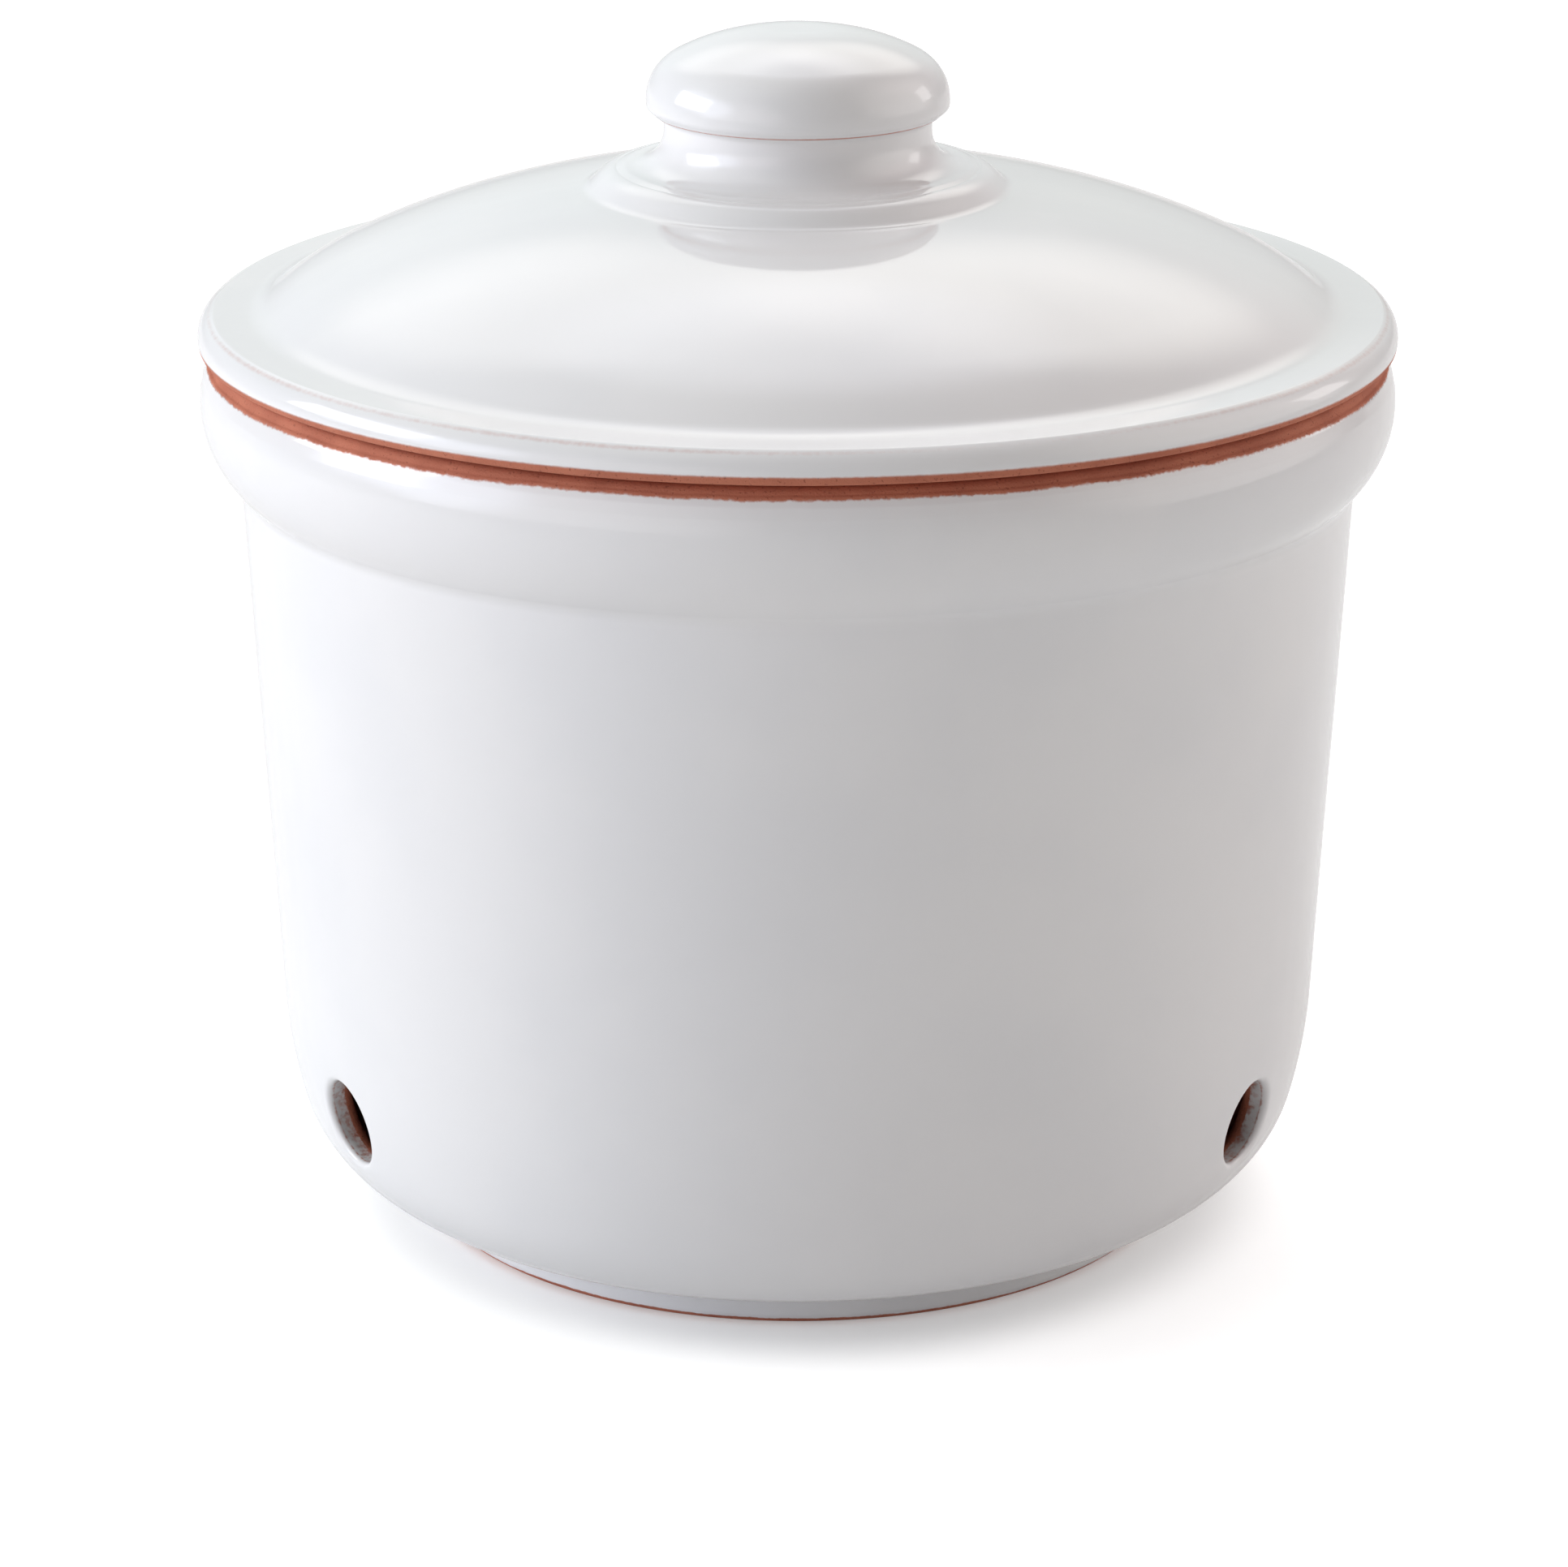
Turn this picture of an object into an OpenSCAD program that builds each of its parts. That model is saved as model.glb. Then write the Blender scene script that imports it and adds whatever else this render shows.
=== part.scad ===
// Onion keeper: a round earthenware pot with air vents and a loose domed lid with a knob.
// Millimetres, +Z up, the front faces -Y. The origin is the middle of the foot, on the table.

/* [Pot] */
// Outside diameter of the rim bead and of the lid
rim_d = 240; // [220:1:270]
// Height from the table to the seat of the lid
pot_h = 182; // [150:1:220]
// Thickness of the fired wall
wall_t = 6; // [5:0.5:8]
// Thickness of the floor
floor_t = 7.5; // [6:0.5:8]
// How far the wall leans out towards the rim, in degrees
wall_lean = 2.8; // [1:0.1:4]

/* [Shoulder and foot] */
// Radius of the rounded shoulder
shoulder_r = 24; // [20:1:27]
// Radius of the slow curve between the shoulder and the wall
haunch_r = 100; // [80:5:140]
// Height where the slow curve runs out into the straight wall
haunch_top = 46; // [42:1:56]
// Height of the foot ring below the shoulder
foot_h = 8; // [7:0.5:10]
// How far the foot ring stands in from the wall
foot_in = 27.6; // [23:0.1:30]
// Width of the foot ring
foot_w = 9; // [7:0.5:12]
// Hollow between the foot ring and the shoulder
foot_fillet = 3; // [2:0.5:3.5]

/* [Rim bead] */
// How far the bead stands proud of the wall
bead_proud = 7.6; // [5:0.2:9]
// Radius of the bead
bead_r = 20; // [16:1:24]
// Depth of the roundest part of the bead below the seat
bead_drop = 11; // [7:0.5:12]
// Hollow under the bead
bead_fillet = 4; // [2:0.5:6]
// Rounding of the outer edge of the seat
rim_edge = 2.5; // [1.5:0.5:3.5]

/* [Air vents] */
// Diameter of an air vent
vent_d = 17.2; // [12:0.2:19]
// Height of the vents on the wall
vent_z = 33.2; // [30:0.2:44]
// Angle of the two front vents from the front, in degrees
vent_angle = 58.5; // [40:0.5:75]
// How far the vents point down, in degrees
vent_tilt = 10; // [0:1:15]
// Rounding of the vent's lip
vent_lip = 1.5; // [0.8:0.1:2]

/* [Lid] */
// Thickness of the lid's edge
lid_edge_h = 7; // [6:0.2:9]
// Rounding of the upper corner of the lid's edge
lid_edge_r = 3.4; // [1.5:0.1:4]
// Radius of the hollow between the flange and the dome
sweep_r = 8; // [6:0.5:10]
// Width of the flat flange from the edge to the hollow
flange_w = 9.5; // [7:0.5:10]
// Slope where the dome rises out of the hollow, in degrees
dome_slope = 38; // [34:1:42]
// Radius of the lower part of the dome
skirt_r = 60; // [50:1:70]
// Radius of the upper part of the dome
dome_r = 165; // [160:5:185]
// Thickness of the lid
lid_t = 7; // [6:0.5:8]
// Diameter of the raised pad under the knob
pad_d = 84.2; // [82:0.2:90]
// Rise of the pad's edge above the dome
pad_rise = 2.6; // [2:0.1:3.4]
// Slope of the pad from its edge up to the foot of the knob, in degrees
pad_slope = 13; // [8:1:16]
// Depth of the locating ring below the seat
ring_depth = 8; // [5:0.5:12]
// Width of the locating ring
ring_w = 7; // [6:0.5:9]
// Play between the locating ring and the mouth of the pot
lid_play = 2.6; // [1:0.1:4]

/* [Knob] */
// Diameter of the knob's head
head_d = 60.4; // [54:0.2:66]
// Height of the head above its widest part
head_h = 14.6; // [12:0.2:18]
// How far the head stands out over the neck
head_over = 3.5; // [3:0.1:6]
// Height of the straight part of the neck
neck_h = 1.4; // [0.5:0.1:6]
// Radius of the flare from the neck to the foot of the knob
flare_r = 7; // [6:0.1:7.6]
// Diameter of the hollow inside the knob
hollow_d = 30; // [22:1:32]
// Diameter of the hole that lets air out of the hollow
breather_d = 20; // [12:1:22]

/* [Hidden] */
$fn = 96;
glaze = [0.93, 0.94, 0.95];
// How far neighbouring curves of a section lap over each other, so that they cross cleanly
lap = 0.01;

// A direction in the section: a runs down from straight out.
function out(a) = [cos(a), -sin(a)];
// A direction in the section: a runs out from straight up.
function up(a) = [sin(a), cos(a)];
// The way from one point to another, one long.
function unit(v) = v / norm(v);
// A value to the nearest tenth.
function tenth(v) = round(10 * v) / 10;

// The pot's wall, shoulder and foot
rim_r = rim_d / 2;
wall_top = pot_h - bead_drop - bead_r + 3;
wall_n = out(wall_lean);
wall_dir = up(wall_lean);
function wall_at(z) = rim_r - bead_proud - (wall_top - z) * tan(wall_lean);
haunch_start = [wall_at(haunch_top), haunch_top];
haunch_c = haunch_start - haunch_r * wall_n;
shoulder_z = foot_h + shoulder_r;
turn = asin((haunch_c[1] - shoulder_z) / (haunch_r - shoulder_r));
shoulder_c = [haunch_c[0] + (haunch_r - shoulder_r) * cos(turn), shoulder_z];
foot_r = tenth(wall_at(haunch_top) - foot_in);
foot_edge = 2.5;
floor_z = foot_h + wall_t;
recess_z = floor_z - floor_t;
recess_corner = max(0.3, min(3, recess_z - foot_edge - 0.5));

// The hollow between the foot ring and the shoulder
foot_hollow_x = foot_r + foot_fillet;
foot_reach = shoulder_r + foot_fillet;
foot_hollow_z = shoulder_z - sqrt(pow(foot_reach, 2) - pow(foot_hollow_x - shoulder_c[0], 2));
foot_hollow_c = [foot_hollow_x, foot_hollow_z];
foot_meet = shoulder_c + shoulder_r * unit(foot_hollow_c - shoulder_c);

// The bead, the hollow under it and the edge of the seat
bead_c = [rim_r - bead_r, pot_h - bead_drop];
under_from = [wall_at(wall_top), wall_top] + bead_fillet * wall_n - bead_c;
under_along = under_from * wall_dir;
under_reach = pow(bead_r + bead_fillet, 2) - under_from * under_from;
under_down = under_along + sqrt(under_along * under_along + under_reach);
under_c = bead_c + under_from - under_down * wall_dir;
under_wall = under_c - bead_fillet * wall_n;
under_bead = bead_c + bead_r * unit(under_c - bead_c);
edge_reach = bead_r + lap - rim_edge;
edge_x = bead_c[0] + sqrt(pow(edge_reach, 2) - pow(bead_drop - rim_edge, 2));
edge_c = [edge_x, pot_h - rim_edge];
edge_bead = bead_c + bead_r * unit(edge_c - bead_c);

// The mouth of the pot
mouth_edge = 2;
mouth_z = pot_h - mouth_edge;
mouth_wall = [wall_at(mouth_z) - wall_t / cos(wall_lean), mouth_z];
mouth_c = [mouth_wall[0] + mouth_edge / cos(wall_lean) - lap, mouth_z];
mouth_r = mouth_c[0] - mouth_edge;

// The outside of the pot at the height of the vents
function curve_at(c, r, z) = c[0] + sqrt(pow(r, 2) - pow(c[1] - z, 2));
turn_z = haunch_c[1] - haunch_r * sin(turn);
on_shoulder = vent_z < turn_z;
vent_curve = on_shoulder ? curve_at(shoulder_c, shoulder_r, vent_z) : curve_at(haunch_c, haunch_r, vent_z);
vent_at = vent_z > haunch_top ? wall_at(vent_z) : vent_curve;

// The lid's upper side, standing on the seat
lid_r = rim_r;
lid_foot_edge = 0.6;
flange_z = pot_h + lid_edge_h;
sweep_x = lid_r - flange_w;
sweep_c = [sweep_x, flange_z + sweep_r];
sweep_end = sweep_c - sweep_r * up(dome_slope);
skirt_c = sweep_end - skirt_r * up(dome_slope);
skirt_out = 25;
skirt_end = skirt_c + skirt_r * up(skirt_out);
dome_c = skirt_end - dome_r * up(skirt_out);
function dome_at(x) = dome_c[1] + sqrt(pow(dome_r, 2) - pow(x - dome_c[0], 2));

// The pad: a low cone with a flat top for the knob, and a hollow where it stands on the dome
head_r = head_d / 2;
neck_r = head_r - head_over;
knob_foot_r = neck_r + flare_r + 2.4;
pad_r = pad_d / 2;
pad_top_r = knob_foot_r + 0.5;
pad_up = (pad_r - pad_top_r) * tan(pad_slope);
pad_z = tenth(dome_at(pad_r) + pad_rise + pad_up);
pad_edge = 0.6;
pad_c = [pad_r - pad_edge, pad_z - pad_up + pad_edge * tan(pad_slope) - (pad_edge - lap) / cos(pad_slope)];
pad_hollow = 0.5 * pad_rise;
hollow_reach = dome_r + pad_hollow - lap;
hollow_x = pad_r + pad_hollow - lap;
hollow_c = [hollow_x, dome_c[1] + sqrt(pow(hollow_reach, 2) - pow(hollow_x - dome_c[0], 2))];
hollow_end = dome_c + dome_r * unit(hollow_c - dome_c);

// The lid's underside and the locating ring
under_r = dome_r - lid_t;
skirt_in_r = skirt_r - lid_t;
skirt_low = skirt_c + skirt_in_r * up(dome_slope);
skirt_in = skirt_c + skirt_in_r * up(skirt_out);
ring_r = tenth(mouth_r - lid_play);
ring_in = ring_r - ring_w;
ring_z = pot_h - ring_depth;
ring_edge = 2;

// The knob, standing on the pad
knob_z = pad_z;
knob_lip = 0.5;
lip_edge = 0.4;
flare_c = [neck_r + flare_r, knob_z + knob_lip + flare_r];
lip_c = [knob_foot_r - lip_edge, knob_z + knob_lip - lip_edge];
side_r = 10.2;
belly_r = 2.9;
arris_in = 1.4;
undercut_r = head_over - arris_in;
undercut_c = [head_r - arris_in, flare_c[1] + neck_h];
arris = undercut_c + [0, undercut_r];
head_z = arris[1] + sqrt(pow(belly_r, 2) - pow(belly_r - arris_in, 2));
knob_top = tenth(head_z + head_h);
side_c = [head_r - side_r, head_z];
belly_c = [head_r - belly_r, head_z];
crest_h = knob_top - head_z;
crest_in = side_r - lap;
crest_r = (pow(side_c[0], 2) + pow(crest_h, 2) - pow(crest_in, 2)) / (2 * (crest_h - crest_in));
crest_c = [0, knob_top - crest_r];
crest_meet = side_c + side_r * unit(side_c - crest_c);
hollow_r = hollow_d / 2;
hollow_z = knob_top - 10 - hollow_r;

// A round disc in the section.
module disc(c, r) {
  translate(c) circle(r = r);
}

// The part of a disc between two heights.
module disc_band(c, r, low, high) {
  intersection() {
    disc(c, r);
    translate([0, low]) square([400, high - low]);
  }
}

// The part of a disc between two distances from the axis, above a height.
module disc_arch(c, r, from, to, low) {
  intersection() {
    disc(c, r);
    translate([from, low]) square([to - from, 400]);
  }
}

// The outside of the pot as a half section.
module pot_outside() {
  difference() {
    union() {
      polygon([
        [0, 0],
        [foot_r - foot_edge, 0],
        [foot_r - foot_edge, foot_edge],
        [foot_r, foot_edge],
        [foot_r, foot_hollow_z],
        foot_meet,
        shoulder_c,
        haunch_start,
        under_wall,
        under_bead,
        bead_c,
        edge_c,
        [edge_c[0], pot_h],
        [0, pot_h]
      ]);
      disc([foot_r - foot_edge, foot_edge], foot_edge);
      disc(shoulder_c + [2 * lap, 0], shoulder_r);
      disc_band(haunch_c + [lap, 0], haunch_r, turn_z, haunch_top + 8);
      disc_band(bead_c, bead_r, 0, edge_bead[1]);
      disc(edge_c, rim_edge);
    }
    disc(foot_hollow_c, foot_fillet + lap);
    disc(under_c, bead_fillet + lap);
  }
}

// The room inside the pot as a half section, open at the mouth.
module pot_inside() {
  low_r = shoulder_r - wall_t;
  slow_r = haunch_r - wall_t;
  difference() {
    union() {
      polygon([
        [0, floor_z],
        [shoulder_c[0] + 2 * lap, floor_z],
        shoulder_c,
        haunch_start - wall_t * wall_n,
        mouth_wall,
        mouth_c,
        [mouth_c[0], pot_h + 5],
        [0, pot_h + 5]
      ]);
      disc(shoulder_c + [2 * lap, 0], low_r);
      disc_band(haunch_c + [lap, 0], slow_r, shoulder_z - low_r * sin(turn), haunch_top + 8);
    }
    disc(mouth_c, mouth_edge);
  }
}

// The hollow under the floor, inside the foot ring.
module foot_recess() {
  in_r = foot_r - foot_w;
  corner_c = [in_r - recess_corner, recess_z - recess_corner];
  difference() {
    union() {
      polygon([
        [0, -1],
        [in_r + foot_edge, -1],
        [in_r + foot_edge, foot_edge],
        [in_r, foot_edge],
        [in_r, corner_c[1]],
        corner_c,
        [corner_c[0], recess_z],
        [0, recess_z]
      ]);
      disc(corner_c, recess_corner);
    }
    disc([in_r + foot_edge, foot_edge], foot_edge);
  }
}

// What a vent takes out of the wall: a round bore that opens into a soft lip.
module vent() {
  r = vent_d / 2;
  translate([0, -vent_at, vent_z])
    rotate([90 + vent_tilt, 0, 0])
      rotate_extrude()
        union() {
          translate([0, -24]) square([r, 34]);
          difference() {
            translate([0, -vent_lip]) square([r + vent_lip, vent_lip + 10]);
            disc([r + vent_lip, -vent_lip], vent_lip);
          }
        }
}

// The pot: foot ring, floor, shoulder, wall and rim bead in one piece.
module pot() {
  color(glaze)
    difference() {
      rotate_extrude()
        difference() {
          pot_outside();
          pot_inside();
          foot_recess();
        }
      for (a = [-vent_angle, vent_angle, 180])
        rotate([0, 0, a]) vent();
    }
}

// The lid's upper side as a half section.
module lid_outside() {
  low_c = [lid_r - lid_foot_edge, pot_h + lid_foot_edge];
  top_c = [lid_r - lid_edge_r, flange_z - lid_edge_r];
  difference() {
    union() {
      polygon([
        [0, pot_h],
        [low_c[0], pot_h],
        low_c,
        [lid_r, low_c[1]],
        [lid_r, top_c[1]],
        top_c,
        [top_c[0], flange_z],
        [sweep_x, flange_z],
        sweep_end,
        skirt_end,
        [hollow_end[0], hollow_end[1] - 2],
        [hollow_end[0], hollow_c[1]],
        [pad_r, hollow_c[1]],
        [pad_r, pad_c[1]],
        pad_c,
        pad_c + (pad_edge - lap) * up(pad_slope),
        [pad_top_r, pad_z],
        [0, pad_z]
      ]);
      disc(low_c, lid_foot_edge);
      disc(top_c, lid_edge_r);
      disc_arch(skirt_c, skirt_r + lap, skirt_end[0] - 8, sweep_end[0] + 1, pot_h);
      disc_arch(dome_c, dome_r, 0, skirt_end[0], pot_h);
      disc(pad_c, pad_edge);
    }
    disc(sweep_c, sweep_r);
    disc(hollow_c, pad_hollow);
  }
}

// The hollow under the dome as a half section.
module dome_inside() {
  polygon([
    [0, ring_z - 1],
    [skirt_low[0], ring_z - 1],
    skirt_low,
    skirt_in,
    [pad_r, dome_at(pad_r) - lid_t - 3],
    [0, dome_at(pad_r) - lid_t - 3]
  ]);
  disc_arch(skirt_c, skirt_in_r + lap, skirt_in[0] - 8, skirt_low[0], ring_z - 1);
  disc_arch(dome_c, under_r, 0, skirt_in[0], ring_z - 1);
}

// The way down through the locating ring as a half section, with a rounded lower edge.
module ring_bore() {
  low_c = [ring_in + ring_edge, ring_z + ring_edge];
  difference() {
    polygon([
      [0, ring_z - 2],
      [low_c[0], ring_z - 2],
      low_c,
      [ring_in, low_c[1]],
      [ring_in, pad_z],
      [0, pad_z]
    ]);
    disc(low_c, ring_edge);
  }
}

// The locating ring as a half section, with a rounded lower edge.
module lid_ring() {
  low_c = [ring_r - ring_edge, ring_z + ring_edge];
  polygon([
    [0, pot_h + 1],
    [0, ring_z],
    [low_c[0], ring_z],
    low_c,
    [ring_r, low_c[1]],
    [ring_r, pot_h + 1]
  ]);
  disc(low_c, ring_edge);
}

// The lid: edge, flange, dome and pad over a locating ring, in one piece.
module lid() {
  color(glaze)
    rotate_extrude()
      difference() {
        union() {
          lid_outside();
          lid_ring();
        }
        intersection() {
          dome_inside();
          ring_bore();
        }
        square([breather_d / 2, pad_z + 1]);
      }
}

// The knob: a round head on a flared neck, hollow from below.
module lid_knob() {
  color(glaze)
    rotate_extrude()
      difference() {
        union() {
          polygon([
            [0, knob_z],
            [lip_c[0] + lip_edge, knob_z],
            [lip_c[0] + lip_edge, lip_c[1]],
            lip_c,
            [lip_c[0], knob_z + knob_lip],
            [flare_c[0], knob_z + knob_lip],
            [neck_r, flare_c[1]],
            [neck_r, undercut_c[1]],
            arris + 0.3 * unit(belly_c - arris),
            belly_c,
            [0, head_z]
          ]);
          disc_band(lip_c, lip_edge, knob_z, knob_z + knob_lip);
          disc(belly_c, belly_r);
          disc_band(side_c, side_r, head_z, knob_top);
          disc_arch(crest_c, crest_r, 0, crest_meet[0], head_z);
        }
        intersection() {
          disc_band(flare_c, flare_r, knob_z, flare_c[1]);
          square([flare_c[0], 400]);
        }
        disc(undercut_c, undercut_r);
        translate([0, knob_z - 1]) square([hollow_r, hollow_z - knob_z + 1]);
        disc([0, hollow_z], hollow_r);
      }
}

pot();
lid();
lid_knob();
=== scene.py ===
"""A white-glazed earthenware onion keeper: a pot with air vents, a loose domed lid and its knob."""
import math

import bmesh
import bpy
import numpy as np
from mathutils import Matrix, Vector, noise


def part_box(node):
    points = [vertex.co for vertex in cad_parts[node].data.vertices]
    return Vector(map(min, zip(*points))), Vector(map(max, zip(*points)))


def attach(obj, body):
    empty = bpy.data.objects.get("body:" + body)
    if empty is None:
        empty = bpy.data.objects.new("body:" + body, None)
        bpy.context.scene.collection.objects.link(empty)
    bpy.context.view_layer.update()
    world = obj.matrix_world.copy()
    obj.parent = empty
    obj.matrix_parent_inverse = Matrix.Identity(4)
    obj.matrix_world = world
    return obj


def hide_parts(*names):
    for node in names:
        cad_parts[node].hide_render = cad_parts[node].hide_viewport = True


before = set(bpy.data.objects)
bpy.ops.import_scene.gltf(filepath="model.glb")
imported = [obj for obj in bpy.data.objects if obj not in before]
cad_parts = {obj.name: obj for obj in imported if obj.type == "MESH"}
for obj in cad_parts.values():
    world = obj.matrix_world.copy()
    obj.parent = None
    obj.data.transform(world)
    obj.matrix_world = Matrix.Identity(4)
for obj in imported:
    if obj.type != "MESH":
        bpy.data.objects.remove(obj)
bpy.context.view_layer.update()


# The pot is one shell of red earthenware, pressed in a mould: foot ring, floor, shoulder, wall and rim
# bead. The outside is dipped in white glaze; the top of the rim, the inside and the foot stay bare.
# Three air vents are punched through the shoulder while the clay is soft.
MM = 0.001
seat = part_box("pot")[1][2] / MM
rim_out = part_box("pot")[1][0] / MM
foot_out, foot_in = 79.5, 70.5
under_floor, on_floor = 6.5, 14

# Corners of the half section in millimetres: distance from the axis, height, and the corner's rounding.
pot_corners = [
    (0, under_floor, 0),
    (foot_in, under_floor, 3),
    (foot_in, 0, 2.5),
    (foot_out, 0, 2.5),
    (foot_out, 7.87, 3),
    (99.76, 9.11, 24),                      # the shoulder
    (106.62, 35.86, 100),                   # the foot of the wall
    (112.46, 155.27, 4),                    # the crease under the bead
    (rim_out + 5.07, seat - 14.95, 20),     # the bead
    (rim_out - 3.23, seat, 2.5),            # the rim that the lid lies on
    (107.76, seat, 2),
    (100.66, 36.76, 94),                    # the inside of the wall
    (94.82, on_floor, 18),
    (0, on_floor, 0),
]


def rounded(corners, step=2.5, turn=math.radians(7), least=0.01):
    """The points of a section: a true arc at each rounded corner, and long straight stretches split up."""
    spots = [np.array(corner[:2], float) for corner in corners]
    line = [spots[0]]
    for here, before, after, corner in zip(spots[1:], spots, spots[2:], corners[1:]):
        back = (before - here) / np.linalg.norm(before - here)
        ahead = (after - here) / np.linalg.norm(after - here)
        radius = corner[2]
        if radius == 0:
            line.append(here)
            continue
        half = math.acos(back @ ahead) / 2
        middle = here + (back + ahead) / np.linalg.norm(back + ahead) * radius / math.sin(half)
        first = here + back * radius / math.tan(half) - middle
        last = here + ahead * radius / math.tan(half) - middle
        begin = math.atan2(first[1], first[0])
        sweep = (math.atan2(last[1], last[0]) - begin + math.pi) % (2 * math.pi) - math.pi
        count = max(3, math.ceil(abs(sweep) / turn), math.ceil(abs(sweep) * radius / step))
        for angle in np.linspace(begin, begin + sweep, count + 1):
            line.append(middle + radius * np.array([math.cos(angle), math.sin(angle)]))
    line.append(spots[-1])
    points = [line[0]]
    for spot in line[1:]:
        start, gap = points[-1], np.linalg.norm(spot - points[-1])
        if gap > least:
            count = math.ceil(gap / step)
            points += [start + (spot - start) * k / count for k in range(1, count + 1)]
    return np.array(points)


def finer(points, place, within, step):
    """The same section with more points close to a place, where a glaze line or a sharp edge needs them."""
    result = [points[0]]
    for a, b in zip(points, points[1:]):
        near = min(np.linalg.norm(spot - place) for spot in (a, (a + b) / 2, b))
        count = max(1, math.ceil(np.linalg.norm(b - a) / step)) if near < within else 1
        result += [a + (b - a) * k / count for k in range(1, count + 1)]
    return np.array(result)


def lengths(points):
    """How far each point lies along its section."""
    return np.concatenate([[0], np.cumsum(np.linalg.norm(np.diff(points, axis=0), axis=1))])


def length_at(points, place):
    """How far along the section the point nearest to a place lies."""
    return lengths(points)[np.argmin(np.linalg.norm(points - np.array(place), axis=1))]


def soft(value):
    """A smooth step from 0 to 1."""
    value = np.clip(value, 0, 1)
    return value * value * (3 - 2 * value)


# Angles round the pot are counted from the front.
COLUMNS = 480
around = np.arange(COLUMNS) * 2 * math.pi / COLUMNS


def wander(waves, seed):
    """A value between about -1 and 1 that wanders round the pot, with about that many waves in a turn."""
    reach = waves / (2 * math.pi)
    circle = [(reach * math.cos(a), reach * math.sin(a), seed) for a in around]
    return np.array([noise.noise(Vector(spot)) for spot in circle])


def ragged(seed, broad, fine):
    """How far a hand-wiped glaze line strays round the pot, in millimetres."""
    slow = wander(waves=5, seed=seed) + 0.5 * wander(waves=17, seed=seed + 3)
    quick = wander(waves=70, seed=seed + 7) + 0.8 * wander(waves=190, seed=seed + 11)
    return broad * slow + fine * quick


def turned(points):
    """A section turned about the axis: the places of its points, and the quads between them."""
    r, z = points[:, :1], np.broadcast_to(points[:, 1:], (len(points), COLUMNS))
    spots = np.stack([r * np.sin(around), -r * np.cos(around), z], 2)
    rows, columns = np.meshgrid(np.arange(len(points) - 1), np.arange(COLUMNS), indexing="ij")
    here = rows * COLUMNS + columns
    beside = rows * COLUMNS + (columns + 1) % COLUMNS
    return spots, np.stack([here, beside, beside + COLUMNS, here + COLUMNS], 2)


def lower_past(distance, depth, fade, edge=0.5):
    """How much lower bare clay lies than the glaze beside it, fading out away from the glaze line."""
    return depth * soft(distance / edge) * np.exp(-(distance / fade) ** 2)


def piece(name, spots, faces, coat, sink, swell, broad_wave=0.045, fine_wave=0.016, merge=1e-6):
    """A mesh from places in millimetres. coat is the glaze's thickness from 0 to 1, sink is how far a
    point lies lower than its section, and swell is how far the dipped glaze rises and falls."""
    mesh = bpy.data.meshes.new(name)
    mesh.from_pydata((np.asarray(spots) * MM).tolist(), [], faces)
    obj = bpy.data.objects.new(name, mesh)
    bpy.context.scene.collection.objects.link(obj)
    for key, values in (("coat", coat), ("sink", sink)):
        layer = mesh.attributes.new(key, "FLOAT", "POINT")
        layer.data.foreach_set("value", np.asarray(values, np.float32))
    work = bmesh.new()
    work.from_mesh(mesh)
    bmesh.ops.remove_doubles(work, verts=work.verts, dist=merge)
    bmesh.ops.delete(work, geom=[v for v in work.verts if not v.link_faces], context="VERTS")
    bmesh.ops.recalc_face_normals(work, faces=work.faces)
    work.normal_update()
    thickness, lower = work.verts.layers.float["coat"], work.verts.layers.float["sink"]
    moves = []
    for v in work.verts:
        wave = noise.noise(v.co / broad_wave) + 0.35 * noise.noise(v.co / fine_wave)
        moves.append(v.normal * MM * (swell * wave * v[thickness] - v[lower]))
    for v, move in zip(work.verts, moves):
        v.co += move
    work.verts.layers.float.remove(lower)
    work.to_mesh(mesh)
    work.free()
    mesh.shade_smooth()
    return obj


rim_glaze = (117.73, 180.25)
foot_glaze = (foot_out - 0.5, 1.1)
pot_points = rounded(pot_corners)
for place in (rim_glaze, foot_glaze):
    pot_points = finer(pot_points, place, within=3.0, step=0.22)
pot_run = lengths(pot_points)[:, None]
pot_spots, pot_quads = turned(pot_points)

# The glaze starts at the foot and ends below the top of the rim, at lines that were wiped by hand.
# The bare band of the rim is wider at the sides of the pot than in front.
wider_at_sides = 0.6
rim_fade, foot_fade = 1.2, 0.6
past_rim = pot_run - length_at(pot_points, rim_glaze) - ragged(seed=1.0, broad=0.5, fine=0.22)
past_rim = past_rim + wider_at_sides * (1 - np.cos(2 * around))
past_foot = length_at(pot_points, foot_glaze) - pot_run + ragged(seed=5.0, broad=0.3, fine=0.15)
pot_coat = soft(-past_rim / rim_fade) * soft(-past_foot / foot_fade)
pot_sink = lower_past(past_rim, depth=0.25, fade=2.0) + lower_past(past_foot, depth=0.12, fade=1.0)

# Each vent is a round bore, punched level through the shoulder, with a rounded lip at each end.
vent_radius, vent_up = 8.6, 32.8
vent_angles = [math.radians(a) for a in (-59, 59, 180)]
outer_lip, inner_lip = 1.5, 1.9
lip_bends = np.radians([15, 30, 45, 60, 75, 90])

# A vent takes the place of a window in the wall's grid. The shares are steps on the way from the window
# to the lip, and on the way through the bore.
half_rows, half_columns = 6, 11
shares_to_lip = (0.3, 0.6, 0.85, 1)
shares_of_bore = (0.07, 0.16, 0.26, 0.36, 0.46, 0.56, 0.66, 0.76, 0.88)

# The glaze thins where the lip bends into the bore. In the bore it lies in lumps and dries up inwards.
thins_from, thins_over, thins_by = 1.1, 0.4, 0.55
ran_in, dries_up, on_lumps, thinnest, thickest = 0.75, 0.4, 0.3, 0.1, 0.85
broad_lump, small_lump, lump_height, lump_limit = 3.2, 1.4, 0.3, 0.2

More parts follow.
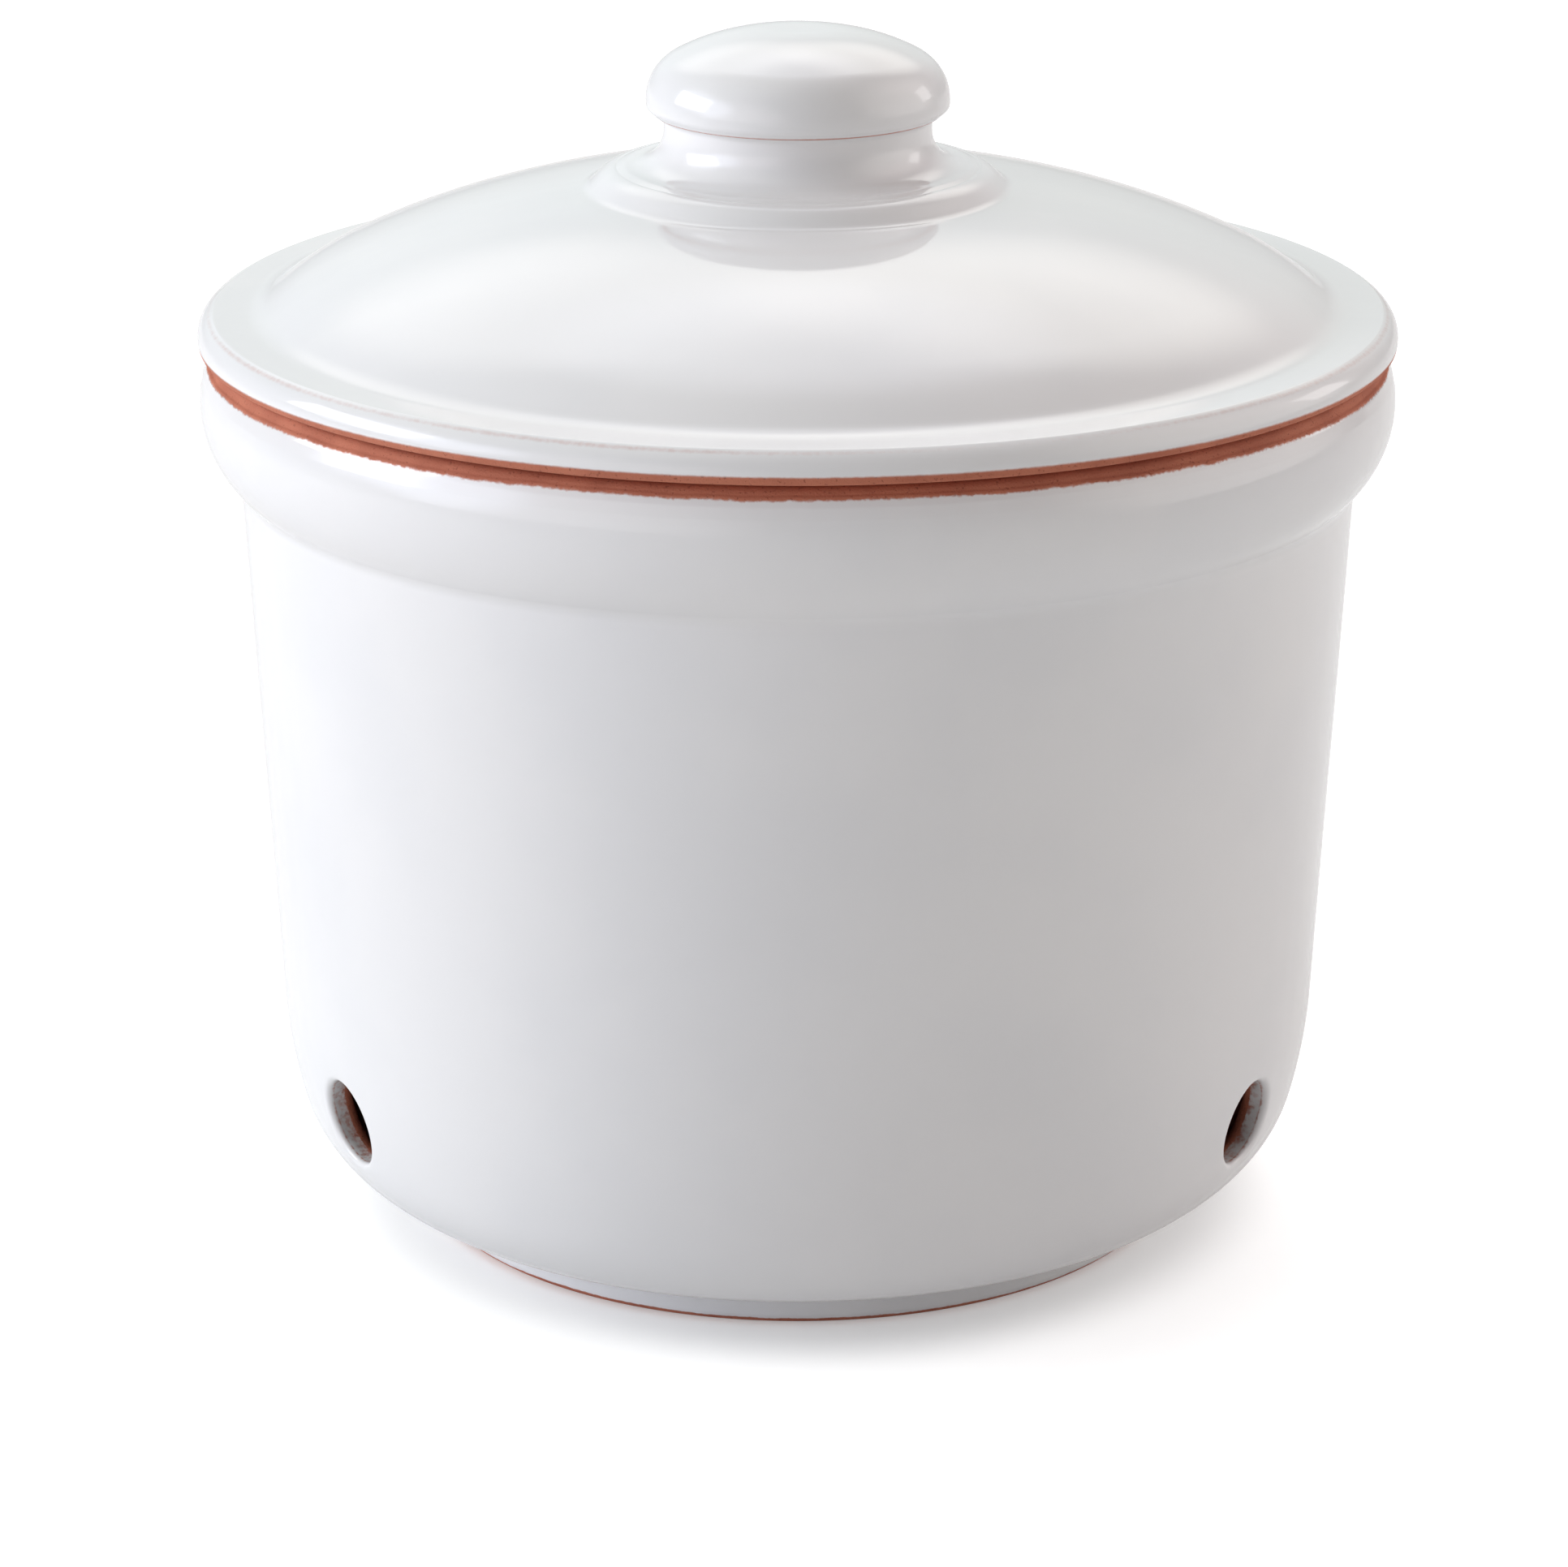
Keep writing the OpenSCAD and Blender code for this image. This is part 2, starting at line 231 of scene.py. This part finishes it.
# The rows of the section that make up the shoulder and the wall, outside and inside.
foot_height, floor_out, slack = 8.5, 81, 0.01
top_row = int(np.argmax(pot_points[:, 1] > seat - slack))
skins = {"outside": np.arange(top_row), "inside": np.arange(top_row, len(pot_points))}
for side, rows in skins.items():
    skins[side] = rows[(pot_points[rows, 1] > foot_height) & (pot_points[rows, 0] > floor_out)]


def wall_radius(side, heights):
    """The pot's radius at some heights, on the outside or the inside of the shoulder and wall."""
    rows = skins[side][np.argsort(pot_points[skins[side], 1])]
    return np.interp(heights, pot_points[rows, 1], pot_points[rows, 0])


def onto_wall(side, base, axis, span=25.0, halvings=40):
    """How far points slide along a vent's axis until they lie on the wall."""
    low, high = np.full(len(base), -span), np.full(len(base), span)
    for _ in range(halvings):
        mid = (low + high) / 2
        spots = base + mid[:, None] * axis
        outside = np.hypot(spots[:, 0], spots[:, 1]) > wall_radius(side, spots[:, 2])
        low, high = np.where(outside, low, mid), np.where(outside, mid, high)
    return (low + high) / 2


spots = list(pot_spots.reshape(-1, 3))
coat = list(pot_coat.reshape(-1))
kept = np.ones(pot_quads.shape[:2], bool)
vent_faces = []


def ring(places, thickness):
    """Adds a ring of points round a vent and gives their numbers."""
    spots.extend(places)
    coat.extend(thickness)
    return np.arange(len(spots) - len(places), len(spots))


for angle in vent_angles:
    outward = np.array([math.sin(angle), -math.cos(angle), 0])
    across = np.array([math.cos(angle), math.sin(angle), 0])
    upright = np.array([0, 0, 1.0])
    centre = outward * wall_radius("outside", vent_up) + upright * vent_up
    column = round(angle / (2 * math.pi) * COLUMNS)
    columns = np.arange(column - half_columns, column + half_columns + 1) % COLUMNS
    rings = {}
    for side, lip, inwards in (("outside", outer_lip, -1), ("inside", inner_lip, 1)):
        # The window is taken out of the grid, and the points round it are the first ring.
        middle = skins[side][np.argmin(abs(pot_points[skins[side], 1] - vent_up))]
        kept[middle - half_rows:middle + half_rows, columns[:-1]] = False
        rows = np.arange(middle - half_rows, middle + half_rows + 1)
        rows = rows if side == "outside" else rows[::-1]
        window = [(rows[0], c) for c in columns[:-1]] + [(r, columns[-1]) for r in rows[:-1]]
        window += [(rows[-1], c) for c in columns[:0:-1]] + [(r, columns[0]) for r in rows[:0:-1]]
        edge = np.array([r * COLUMNS + c for r, c in window])
        rings[side] = [edge]
        # The rings that follow close in on the lip along the wall, and then bend round it.
        away = np.array([spots[k] for k in edge]) - centre
        flat = np.stack([away @ across, away @ upright], 1)
        circle = flat / np.linalg.norm(flat, axis=1)[:, None]
        steps = []
        for share in shares_to_lip:
            steps.append((flat + (circle * (vent_radius + lip) - flat) * share, 0, 0))
        for bend in lip_bends:
            out, deep = lip * (1 - math.sin(bend)), lip * (1 - math.cos(bend))
            steps.append((circle * (vent_radius + out), deep, bend))
        for plane, depth, bend in steps:
            base = centre + plane[:, :1] * across + plane[:, 1:] * upright
            slide = onto_wall(side, base, outward) + inwards * depth
            thinned = thins_by * soft((bend - thins_from) / thins_over)
            glazed = 1 - thinned if side == "outside" else 0.0
            rings[side].append(ring(base + slide[:, None] * outward, [glazed] * len(base)))
    # The rings of the bore are uneven from the lumps of glaze.
    bore = []
    outer = np.array([spots[k] for k in rings["outside"][-1]])
    inner = np.array([spots[k] for k in rings["inside"][-1]])
    for share in shares_of_bore:
        places, thickness = [], []
        for spot in outer + (inner - outer) * share:
            lump = noise.noise(Vector(spot) / broad_lump) + 0.5 * noise.noise(Vector(spot) / small_lump)
            to_axis = centre + outward * ((spot - centre) @ outward) - spot
            height = lump_height * max(lump, -lump_limit) * math.sin(share * math.pi)
            places.append(spot + to_axis * (height / np.linalg.norm(to_axis)))
            glazed = ran_in - dries_up * share ** 2 + on_lumps * min(lump, lump_limit)
            thickness.append(np.clip(glazed, thinnest, thickest))
        bore.append(ring(places, thickness))
    loops = rings["outside"] + bore + rings["inside"][::-1]
    for one, other in zip(loops, loops[1:]):
        vent_faces += np.stack([one, np.roll(one, -1), np.roll(other, -1), other], 1).tolist()

pot_faces = pot_quads[kept].tolist() + vent_faces
sink = np.concatenate([pot_sink.reshape(-1), np.zeros(len(spots) - pot_sink.size)])
pot = piece("keeper_pot", spots, pot_faces, coat, sink, swell=0.05)


def fill(tree, socket, value):
    """Links a node's output to a socket, or sets the socket to a constant."""
    if isinstance(value, bpy.types.NodeSocket):
        tree.links.new(value, socket)
    else:
        socket.default_value = value


def add(tree, kind, inputs=None, **settings):
    """A shader node with its settings and its inputs."""
    node = tree.nodes.new("ShaderNode" + kind)
    for key, value in settings.items():
        setattr(node, key, value)
    for key, value in (inputs or {}).items():
        fill(tree, node.inputs[key], value)
    return node


def graded(tree, value, low, high, to_low=0.0, to_high=1.0):
    """A value that goes smoothly from to_low to to_high while another goes from low to high."""
    limits = {"Value": value, "From Min": low, "From Max": high, "To Min": to_low, "To Max": to_high}
    return add(tree, "MapRange", limits, interpolation_type="SMOOTHSTEP").outputs["Result"]


def glazed_clay(name, glaze, clay, crumbly):
    """White glaze over red clay. The coat attribute says where the glaze is thick, thin or missing, and
    under the lid's flange edge also carries a painted shade; crumbly says how far it flakes where it is
    thin."""
    material = bpy.data.materials.new(name)
    material.use_nodes = True
    tree = material.node_tree
    place = add(tree, "TexCoord").outputs["Object"]

    def grain(scale, detail):
        """A fine-grained pattern on the piece."""
        return add(tree, "TexNoise", {"Vector": place, "Scale": scale, "Detail": detail}).outputs["Fac"]

    def blend(amount, one, other):
        """One colour going over into another."""
        node = add(tree, "Mix", data_type="RGBA")
        for key, value in (("Factor_Float", amount), ("A_Color", one), ("B_Color", other)):
            fill(tree, next(s for s in node.inputs if s.identifier == key), value)
        return next(s for s in node.outputs if s.identifier == "Result_Color")

    thickness = add(tree, "Attribute", attribute_name="coat").outputs["Fac"]
    crumbs = graded(tree, grain(scale=1000, detail=3), low=0.3, high=0.7,
                    to_low=-crumbly, to_high=crumbly)
    frayed = add(tree, "Math", {0: thickness, 1: crumbs}, operation="ADD").outputs[0]
    covered = graded(tree, frayed, low=0.15, high=0.8)

    # The clay is fired lighter and darker and has dark grit in it. The glaze is milky, with a few faint
    # spots of iron.
    plain_clay, light_clay, grit_in_clay = [(*colour, 1) for colour in clay]
    plain_glaze, light_glaze, iron_spot = [(*colour, 1) for colour in glaze]
    fired = blend(graded(tree, grain(scale=90, detail=3), low=0.3, high=0.7), plain_clay, light_clay)
    gritty = blend(graded(tree, grain(scale=1700, detail=2), low=0.6, high=0.72), fired, grit_in_clay)
    milky = blend(graded(tree, grain(scale=22, detail=3), low=0.35, high=0.65), plain_glaze, light_glaze)
    cells = add(tree, "TexVoronoi", {"Vector": place, "Scale": 30})
    iron = graded(tree, cells.outputs["Distance"], low=0.003, high=0.008, to_low=0.4, to_high=0.0)
    spotted = blend(iron, milky, iron_spot)

    # The glaze is shiny with a faintly uneven skin, and the bare clay is dull and rough.
    dull_to_shiny = graded(tree, frayed, low=0.1, high=0.35, to_low=0.85, to_high=0.075)
    skin = add(tree, "Bump", {"Height": grain(scale=170, detail=1), "Strength": 0.03, "Distance": 0.0004})
    rough_where_bare = graded(tree, covered, low=0.0, high=0.6, to_low=0.5, to_high=0.0)
    grit = add(tree, "Bump", {"Height": grain(scale=2400, detail=4), "Strength": rough_where_bare,
                              "Distance": 0.00025, "Normal": skin.outputs["Normal"]})
    shader = tree.nodes["Principled BSDF"]
    fill(tree, shader.inputs["Base Color"], blend(covered, gritty, spotted))
    fill(tree, shader.inputs["Roughness"], dull_to_shiny)
    fill(tree, shader.inputs["IOR"], 1.52)
    fill(tree, shader.inputs["Normal"], grit.outputs["Normal"])
    return material


white_glaze = [(0.83, 0.832, 0.842), (0.86, 0.858, 0.862), (0.28, 0.22, 0.19)]
red_clay = [(0.45, 0.14, 0.08), (0.53, 0.18, 0.105), (0.33, 0.10, 0.055)]
pot.data.materials.append(glazed_clay("pot_glaze_over_clay", white_glaze, red_clay, crumbly=0.15))
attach(pot, "pot")
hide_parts("pot")


# The lid is a second pressed shell of the same clay: flat flange, dome, and a low cone for the knob.
# It lies loose on the rim, kept in place by a ring underneath. The upper side is glazed down to just
# above the lower edge.
lid_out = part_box("lid")[1][0] / MM
pad_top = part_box("lid")[1][2] / MM
ring_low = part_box("lid")[0][2] / MM
ring_out, ring_in = 105.1, 98.1
cone_out, cone_in = 42.1, 36.6
breather, breather_middle = 10.0, pad_top - 4
flange_top = seat + 7.0
lid_corners = [
    (breather, breather_middle, 0),         # the hole under the knob that lets air out in the kiln
    (breather, 205.61, 0.5),
    (52.43, 209.45, 155),                   # the inside of the dome
    (94.73, 189.73, 45),
    (ring_in, 187.47, 0.5),
    (ring_in, ring_low, 2),                 # the ring
    (ring_out, ring_low, 2),
    (ring_out, seat, 0.6),
    (112, seat, 0),                         # the underside rises from here and leaves a dark gap
    (lid_out, seat + 1.05, 0.6),
    (lid_out, flange_top - 1.79, 5.0),
    (lid_out - 3.1, flange_top, 0.7),
    (107.745, flange_top, 8),               # the flange
    (100.19, 194.9, 60),                    # the skirt of the dome
    (69.82, 209.05, 163),                   # the dome
    (cone_out, 212.29, 3.4),                # the low cone
    (cone_out - 3.5, pad_top - 0.47, 6.0),
    (cone_in, pad_top, 0.8),
    (breather, pad_top, 0.5),
    (breather, breather_middle, 0),
]
lid_glaze = (lid_out, seat + 2.25)
flange_arris = (lid_out - 2.9, flange_top - 0.1)
lid_points = rounded(lid_corners)
for place in (lid_glaze, flange_arris):
    lid_points = finer(lid_points, place, within=1.8, step=0.22)
lid_run = lengths(lid_points)[:, None]
lid_spots, lid_quads = turned(lid_points)

# The bare band of the lid is narrower at the sides than in front.
narrower_at_sides, edge_fade = 0.3, 1.2
short_of_edge = length_at(lid_points, lid_glaze) - lid_run + ragged(seed=21.0, broad=0.2, fine=0.03)
short_of_edge = short_of_edge + narrower_at_sides * np.cos(2 * around)
short_of_hole = length_at(lid_points, (breather, pad_top)) - lid_run
lid_coat = soft(0.5 - short_of_edge / edge_fade) * soft(short_of_hole)
lid_sink = lower_past(short_of_edge, depth=0.12, fade=1.0)

# Below the sharp edge of the flange the glaze pulls thin, in some places more than in others. The line is
# made darker than the thin glaze alone, as painted shade under the edge.
arris_down, arris_width, arris_thin_glaze_and_shade = 0.8, 0.9, 0.46
below_arris = length_at(lid_points, flange_arris) - arris_down - lid_run
uneven = 0.8 + 0.5 * wander(waves=9, seed=31.0)
# partly real thin glaze, partly painted shade: the coat dip darkens the edge just below the arris
lid_coat *= 1 - arris_thin_glaze_and_shade * np.exp(-(below_arris / arris_width) ** 2) * uneven

lid = piece("keeper_lid", lid_spots.reshape(-1, 3), lid_quads.reshape(-1, 4).tolist(),
            lid_coat.reshape(-1), lid_sink.reshape(-1), swell=0.05)
lid.data.materials.append(glazed_clay("lid_glaze_over_clay", white_glaze, red_clay, crumbly=0.04))
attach(lid, "lid")
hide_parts("lid")


# The knob is formed on its own, hollow so that it fires without bursting, and stuck to the low cone with
# wet clay. It is glazed with the lid. On the sharp edge under its head the glaze pulls thin and the red
# clay shows.
knob_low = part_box("lid_knob")[0][2] / MM
knob_foot_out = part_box("lid_knob")[1][0] / MM
flatter_by = 0.6                            # the head is a little flatter than the solid's
knob_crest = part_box("lid_knob")[1][2] / MM - flatter_by
head_out, neck_out, hollow = 30.2, 26.7, 15.0
under_head = knob_low + 10.8
hollow_top = knob_crest - 9.4
thin_foot = (knob_foot_out + 0.35, knob_low - 0.1)
knob_corners = [
    (0, knob_crest, 0),
    (15.2, knob_crest, 43.5),               # the top of the head
    (head_out, under_head + 8.9, 10.1),
    (head_out, under_head + 1.5, 1.25),
    (head_out - 1.7, under_head, 0.25),     # the sharp edge under the head
    (neck_out, under_head, 1.5),            # the neck
    (neck_out, knob_low + 0.6, 7.0),
    (knob_foot_out - 1.5, knob_low + 0.5, 3.0),
    (*thin_foot, 0),                        # the foot runs out thin
    (hollow, knob_low, 0.3),
    (hollow, hollow_top, 14.9),
    (0, hollow_top, 0),
]
knob_arris = (head_out - 1.7, under_head + 0.05)
knob_points = finer(rounded(knob_corners, step=1.2), knob_arris, within=1.2, step=0.1)
knob_points = finer(knob_points, thin_foot, within=0.6, step=0.08)
knob_run = lengths(knob_points)[:, None]
knob_spots, knob_quads = turned(knob_points)

crease_width = 0.55
past_knob_foot = knob_run - length_at(knob_points, (knob_foot_out - 2, knob_low))
from_arris = knob_run - length_at(knob_points, knob_arris)
uneven = 0.8 + 0.2 * wander(waves=12, seed=41.0)
knob_coat = soft(-past_knob_foot) * (1 - np.exp(-(from_arris / crease_width) ** 2) * uneven)

knob = piece("keeper_knob", knob_spots.reshape(-1, 3), knob_quads.reshape(-1, 4).tolist(),
             knob_coat.reshape(-1), np.zeros(knob_coat.size), swell=0.03)
knob.data.materials.append(glazed_clay("knob_glaze_over_clay", white_glaze, red_clay, crumbly=0.04))
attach(knob, "lid")
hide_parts("lid_knob")


# The studio: a white table in a white room, with a soft box at the left, a small soft panel at the right
# and soft light from the walls. The table and the room show as plain white to the camera and in
# reflections, and light the keeper far less.
def shown(tree, to_camera, in_gloss):
    """A strength that only the camera and reflections see, and that lights nothing."""
    path = add(tree, "LightPath")
    seen = []
    for key, level in (("Is Camera Ray", to_camera), ("Is Glossy Ray", in_gloss)):
        seen.append(add(tree, "MapRange", {"Value": path.outputs[key], "To Max": level}).outputs["Result"])
    return add(tree, "Math", {0: seen[0], 1: seen[1]}, operation="ADD").outputs[0]


# The table is matt white. Its own white fades near the foot of the pot, a painted shadow that deepens the
# shadow the pot casts there.
table_half = 4.0
painted_shadow_from, painted_shadow_to = 0.082, 0.104
table_corners = [(x * table_half, y * table_half, 0) for x, y in ((-1, -1), (1, -1), (1, 1), (-1, 1))]
table_mesh = bpy.data.meshes.new("table_top")
table_mesh.from_pydata(table_corners, [], [(0, 1, 2, 3)])
table = bpy.data.objects.new("table_top", table_mesh)
bpy.context.scene.collection.objects.link(table)
table_white_painted_shadow = bpy.data.materials.new("table_white_painted_shadow")
table_white_painted_shadow.use_nodes = True
tree = table_white_painted_shadow.node_tree
tree.nodes.remove(tree.nodes["Principled BSDF"])
matt = add(tree, "BsdfDiffuse", {"Color": (0.8, 0.8, 0.8, 1)})
from_axis = add(tree, "VectorMath", {0: add(tree, "TexCoord").outputs["Object"]}, operation="LENGTH")
# painted shadow: the table's own white drops from 0.58 to 0.28 close to the foot of the pot
white = graded(tree, from_axis.outputs["Value"], painted_shadow_from, painted_shadow_to, to_low=0.28, to_high=0.58)
glow = add(tree, "Emission", {"Strength": shown(tree, to_camera=white, in_gloss=0.19)})
both = add(tree, "AddShader", {0: matt.outputs[0], 1: glow.outputs[0]})
fill(tree, tree.nodes["Material Output"].inputs["Surface"], both.outputs[0])
table_mesh.materials.append(table_white_painted_shadow)

# The room: each soft light has its azimuth from the back, its height, the angle it spreads to, and its
# colour, which was fitted to the photo. It is full within a narrow cone, and the camera does not see it.
soft_lights = (
    (0, 35, 45, (0.57, 0.67, 0.67)),        # behind the keeper
    (0, 60, 22, (1.01, 1.03, 1.14)),        # over the back of it
    (-20, 42, 22, (1.06, 1.00, 0.95)),      # behind, a little to the left
    (20, 42, 22, (1.28, 1.24, 1.15)),       # behind, a little to the right
    (50, 45, 45, (0.34, 0.23, 0.25)),       # high at the right
    (90, 20, 45, (1.63, 1.55, 1.50)),       # the wall at the right
    (-90, 55, 45, (0.60, 0.61, 0.52)),      # high at the left
    (-90, 20, 22, (2.23, 2.39, 2.78)),      # the wall at the left
    (-110, 15, 22, (2.13, 2.34, 2.83)),     # the same, a little nearer
    (-135, 0, 45, (1.26, 1.19, 1.18)),      # in front at the left, low down
)
full_within = math.cos(math.radians(5))
world = bpy.data.worlds.new("white_room")
bpy.context.scene.world = world
world.use_nodes = True
tree = world.node_tree
room = tree.nodes["Background"]
fill(tree, room.inputs["Color"], (1, 1, 1, 1))
fill(tree, room.inputs["Strength"], shown(tree, to_camera=1.0, in_gloss=0.53))
direction = add(tree, "TexCoord").outputs["Generated"]
all_lights = (0, 0, 0)
for azimuth, elevation, spread, colour in soft_lights:
    a, e = math.radians(azimuth), math.radians(elevation)
    middle = (math.cos(e) * math.sin(a), math.cos(e) * math.cos(a), math.sin(e))
    towards = add(tree, "VectorMath", {0: direction, 1: middle}, operation="DOT_PRODUCT")
    falloff = graded(tree, towards.outputs["Value"], math.cos(math.radians(spread)), full_within)
    light = add(tree, "VectorMath", {0: falloff, 1: colour, 2: all_lights}, operation="MULTIPLY_ADD")
    all_lights = light.outputs["Vector"]
from_camera = add(tree, "LightPath").outputs["Is Camera Ray"]
unseen = add(tree, "MapRange", {"Value": from_camera, "To Min": 1.0, "To Max": 0.0})
walls = add(tree, "Background", {"Color": all_lights, "Strength": unseen.outputs["Result"]})
together = add(tree, "AddShader", {0: room.outputs[0], 1: walls.outputs[0]})
fill(tree, tree.nodes["World Output"].inputs["Surface"], together.outputs[0])


def soft_box(name, place, width, height, watts, colour, keeper_middle=0.15):
    """A soft light that faces the middle of the keeper."""
    light = bpy.data.lights.new(name, "AREA")
    light.shape = "RECTANGLE"
    light.size, light.size_y = width, height
    light.energy, light.color = watts, colour
    lamp = bpy.data.objects.new(name, light)
    lamp.location = place
    towards_keeper = Vector((0, 0, keeper_middle)) - Vector(place)
    lamp.rotation_euler = towards_keeper.to_track_quat("-Z", "Y").to_euler()
    bpy.context.scene.collection.objects.link(lamp)


soft_box("left_box", place=(-1.25, 0.0, 0.60), width=0.75, height=0.5, watts=5.2, colour=(1.0, 1.0, 1.0))
soft_box("right_panel", place=(1.18, 0.55, 0.55), width=0.32, height=0.4, watts=0.6,
         colour=(1.0, 0.98, 0.97))

# The camera stands in front and looks down on the lid.
looks_down = 18.73
camera = bpy.data.cameras.new("camera")
camera.sensor_width = 36
camera.lens = 116.3
viewer = bpy.data.objects.new("camera", camera)
viewer.location = (-0.00275, -0.99441, 0.42345)
viewer.rotation_euler = (math.radians(90 - looks_down), 0, 0)
bpy.context.scene.collection.objects.link(viewer)
bpy.context.scene.camera = viewer
bpy.context.scene.view_settings.view_transform = "Standard"
